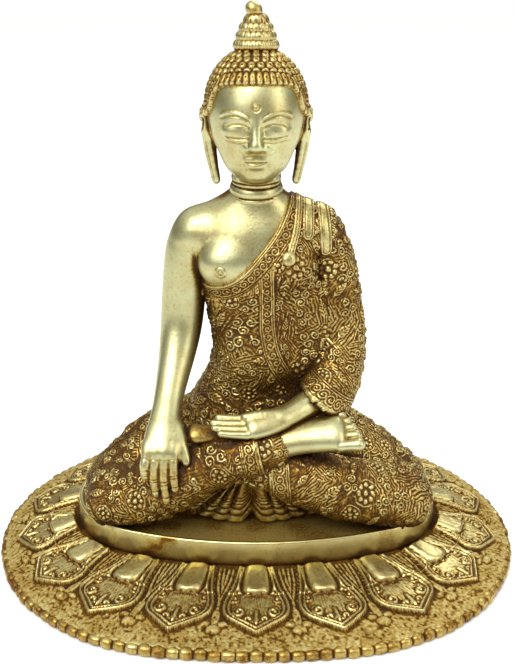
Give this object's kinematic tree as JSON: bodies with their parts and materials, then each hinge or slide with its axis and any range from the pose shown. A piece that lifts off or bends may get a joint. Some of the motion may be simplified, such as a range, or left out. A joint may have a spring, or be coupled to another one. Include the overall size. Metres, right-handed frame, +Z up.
{
  "type": "seated buddha statue",
  "caption": "Cast brass figure seated cross-legged, one hand on the shin and one in the lap, loose in an oval tray on a petalled oval pedestal with a beaded edge.",
  "frame": {"origin": "under the middle of the pedestal, on the surface it stands on", "axes": "+Z up, the figure faces -Y, +X towards the figure's left hand"},
  "size_m": [0.23, 0.184, 0.232],
  "materials": {
    "cast_brass": "satin cast brass with dark patina in the recesses",
    "polished_brass": "polished",
    "steel": "plain"
  },
  "bodies": {
    "pedestal": {"lotus_base": "cast_brass", "beaded_rim": "cast_brass", "seat_tray": "polished_brass", "locating_pegs": "polished_brass", "tray_screws": "steel"},
    "figure": {"crossed_legs": "cast_brass", "sole_plate": "polished_brass", "sole_plate_screws": "steel", "tie_bolts": "steel", "robe_hem_fan": "cast_brass", "torso": "cast_brass", "right_arm": "cast_brass", "right_arm_dowel": "steel", "left_arm": "cast_brass", "left_arm_dowel": "steel", "head": "cast_brass", "neck_dowel": "steel", "finial": "cast_brass"}
  },
  "joints": [
    {"name": "figure_lift", "type": "slide", "parent": "pedestal", "child": "figure", "axis": [0, 0, 1], "range_m": [0, 0.04]}
  ]
}
